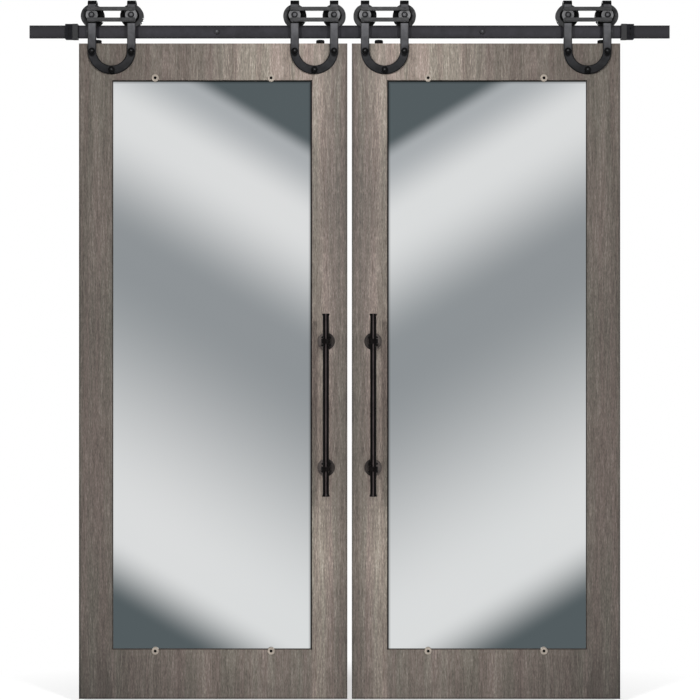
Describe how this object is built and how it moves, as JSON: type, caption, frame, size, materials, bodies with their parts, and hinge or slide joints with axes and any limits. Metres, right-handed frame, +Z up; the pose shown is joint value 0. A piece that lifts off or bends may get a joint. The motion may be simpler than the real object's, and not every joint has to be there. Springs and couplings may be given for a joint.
{
  "type": "barn doors",
  "caption": "Pair of mirrored sliding barn doors that hang from one flat wall rail on horseshoe strap hangers with grooved wheels, with bar pulls and rail end stops.",
  "frame": {"origin": "on the wall plane, midway along the line of bolts that fix the rail", "axes": "X along the rail, -Y faces the room, +Z up"},
  "size_m": [1.989, 0.1879, 2.1662],
  "materials": {
    "wood": "grey-brown wood-grain laminate, satin",
    "panel": "grey-brown laminated panel, satin",
    "mirror": "silvered glass",
    "button": "beige plastic",
    "steel": "satin black",
    "track": "satin black",
    "wheel": "satin black",
    "pull": "satin black",
    "bolt": "black",
    "zinc": "zinc plated",
    "bush": "plain bronze",
    "rubber": "black rubber"
  },
  "bodies": {
    "rail": {"track_rail": "track", "wall_spacers": "track", "lag_bolts": "bolt", "left_end_stop": "steel", "right_end_stop": "steel", "stop_bumpers": "rubber", "stop_set_screws": "bolt"},
    "left_leaf": {"left_outer_stile": "wood", "left_inner_stile": "wood", "left_head_rail": "wood", "left_foot_rail": "wood", "left_back_panel": "panel", "left_mirror": "mirror", "left_mirror_buttons": "button", "left_button_screws": "bolt", "left_outer_strap": "steel", "left_inner_strap": "steel", "left_yokes": "steel", "left_strap_bolts": "bolt", "left_strap_nuts": "zinc", "left_axle_bolts": "bolt", "left_axle_nuts": "zinc", "left_wheel_bushes": "bush", "left_jump_guards": "steel", "left_guard_screws": "bolt", "left_pull_bar": "pull", "left_pull_posts": "pull", "left_pull_roses": "pull", "left_rose_screws": "bolt"},
    "left_wheel_1": {"left_wheel_1": "wheel"},
    "left_wheel_2": {"left_wheel_2": "wheel"},
    "left_wheel_3": {"left_wheel_3": "wheel"},
    "left_wheel_4": {"left_wheel_4": "wheel"},
    "right_leaf": {"right_outer_stile": "wood", "right_inner_stile": "wood", "right_head_rail": "wood", "right_foot_rail": "wood", "right_back_panel": "panel", "right_mirror": "mirror", "right_mirror_buttons": "button", "right_button_screws": "bolt", "right_outer_strap": "steel", "right_inner_strap": "steel", "right_yokes": "steel", "right_strap_bolts": "bolt", "right_strap_nuts": "zinc", "right_axle_bolts": "bolt", "right_axle_nuts": "zinc", "right_wheel_bushes": "bush", "right_jump_guards": "steel", "right_guard_screws": "bolt", "right_pull_bar": "pull", "right_pull_posts": "pull", "right_pull_roses": "pull", "right_rose_screws": "bolt"},
    "right_wheel_1": {"right_wheel_1": "wheel"},
    "right_wheel_2": {"right_wheel_2": "wheel"},
    "right_wheel_3": {"right_wheel_3": "wheel"},
    "right_wheel_4": {"right_wheel_4": "wheel"}
  },
  "joints": [
    {"name": "left_leaf_slide", "type": "slide", "parent": "rail", "child": "left_leaf", "axis": [-1, 0, 0], "range_m": [-0.0067, 0.017]},
    {"name": "left_wheel_1_roll", "type": "hinge", "parent": "left_leaf", "child": "left_wheel_1", "pos_m": [-0.048, -0.038, 0.0487], "axis": [0, 1, 0], "continuous": true},
    {"name": "left_wheel_2_roll", "type": "hinge", "parent": "left_leaf", "child": "left_wheel_2", "pos_m": [-0.17, -0.038, 0.0487], "axis": [0, 1, 0], "continuous": true},
    {"name": "left_wheel_3_roll", "type": "hinge", "parent": "left_leaf", "child": "left_wheel_3", "pos_m": [-0.676, -0.038, 0.0487], "axis": [0, 1, 0], "continuous": true},
    {"name": "left_wheel_4_roll", "type": "hinge", "parent": "left_leaf", "child": "left_wheel_4", "pos_m": [-0.798, -0.038, 0.0487], "axis": [0, 1, 0], "continuous": true},
    {"name": "right_leaf_slide", "type": "slide", "parent": "rail", "child": "right_leaf", "axis": [1, 0, 0], "range_m": [-0.0067, 0.017]},
    {"name": "right_wheel_1_roll", "type": "hinge", "parent": "right_leaf", "child": "right_wheel_1", "pos_m": [0.048, -0.038, 0.0487], "axis": [0, 1, 0], "continuous": true},
    {"name": "right_wheel_2_roll", "type": "hinge", "parent": "right_leaf", "child": "right_wheel_2", "pos_m": [0.17, -0.038, 0.0487], "axis": [0, 1, 0], "continuous": true},
    {"name": "right_wheel_3_roll", "type": "hinge", "parent": "right_leaf", "child": "right_wheel_3", "pos_m": [0.676, -0.038, 0.0487], "axis": [0, 1, 0], "continuous": true},
    {"name": "right_wheel_4_roll", "type": "hinge", "parent": "right_leaf", "child": "right_wheel_4", "pos_m": [0.798, -0.038, 0.0487], "axis": [0, 1, 0], "continuous": true}
  ],
  "couplings": [
    {"joint": "left_wheel_1_roll", "follows": "left_leaf_slide", "rad_per_m": -35.088},
    {"joint": "left_wheel_2_roll", "follows": "left_leaf_slide", "rad_per_m": -35.088},
    {"joint": "left_wheel_3_roll", "follows": "left_leaf_slide", "rad_per_m": -35.088},
    {"joint": "left_wheel_4_roll", "follows": "left_leaf_slide", "rad_per_m": -35.088},
    {"joint": "right_wheel_1_roll", "follows": "right_leaf_slide", "rad_per_m": 35.088},
    {"joint": "right_wheel_2_roll", "follows": "right_leaf_slide", "rad_per_m": 35.088},
    {"joint": "right_wheel_3_roll", "follows": "right_leaf_slide", "rad_per_m": 35.088},
    {"joint": "right_wheel_4_roll", "follows": "right_leaf_slide", "rad_per_m": 35.088}
  ]
}
